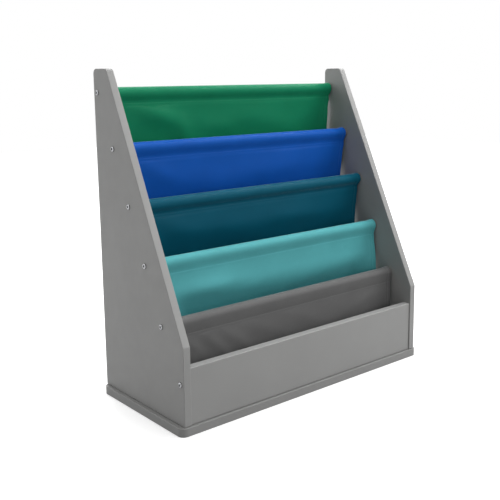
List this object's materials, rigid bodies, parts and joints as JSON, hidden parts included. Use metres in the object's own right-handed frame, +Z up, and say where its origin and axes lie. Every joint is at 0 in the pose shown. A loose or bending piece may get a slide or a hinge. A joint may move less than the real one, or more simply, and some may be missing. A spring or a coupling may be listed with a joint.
{
  "type": "sling bookshelf",
  "caption": "Low children's bookshelf: two sloping side panels on a base carry cloth slings on dowels, a stair of face-out book pockets above a front bin.",
  "frame": {"origin": "on the floor, under the middle of the base board", "axes": "+X to the right as seen from the front, +Y to the rear, +Z up"},
  "size_m": [0.762, 0.33, 0.762],
  "materials": {
    "painted_board": "warm gray satin paint on board",
    "dowel_wood": "plain sanded beech",
    "cloth_green": "woven green cloth",
    "cloth_blue": "woven blue cloth",
    "cloth_teal": "woven dark teal cloth",
    "cloth_aqua": "woven aqua cloth",
    "cloth_gray": "woven dark gray cloth",
    "screw_steel": "bright nickel-plated screw heads"
  },
  "bodies": {
    "root": {"base_panel": "painted_board", "left_side_panel": "painted_board", "right_side_panel": "painted_board", "front_panel": "painted_board", "dowel_1": "dowel_wood", "dowel_2": "dowel_wood", "dowel_3": "dowel_wood", "dowel_4": "dowel_wood", "dowel_5": "dowel_wood", "sling_green": "cloth_green", "sling_blue": "cloth_blue", "sling_teal": "cloth_teal", "sling_aqua": "cloth_aqua", "apron_gray": "cloth_gray", "dowel_screw_left_1": "screw_steel", "dowel_screw_left_2": "screw_steel", "dowel_screw_left_3": "screw_steel", "dowel_screw_left_4": "screw_steel", "dowel_screw_left_5": "screw_steel", "dowel_screw_right_1": "screw_steel", "dowel_screw_right_2": "screw_steel", "dowel_screw_right_3": "screw_steel", "dowel_screw_right_4": "screw_steel", "dowel_screw_right_5": "screw_steel", "front_panel_screw_left": "screw_steel", "front_panel_screw_right": "screw_steel", "base_screw_1": "screw_steel", "base_screw_2": "screw_steel", "base_screw_3": "screw_steel", "base_screw_4": "screw_steel", "base_screw_5": "screw_steel", "base_screw_6": "screw_steel", "base_screw_7": "screw_steel", "base_screw_8": "screw_steel", "base_screw_9": "screw_steel", "side_pin_left_1": "dowel_wood", "side_pin_left_2": "dowel_wood", "side_pin_right_1": "dowel_wood", "side_pin_right_2": "dowel_wood", "front_pin_left": "dowel_wood", "front_pin_right": "dowel_wood"}
  },
  "joints": []
}
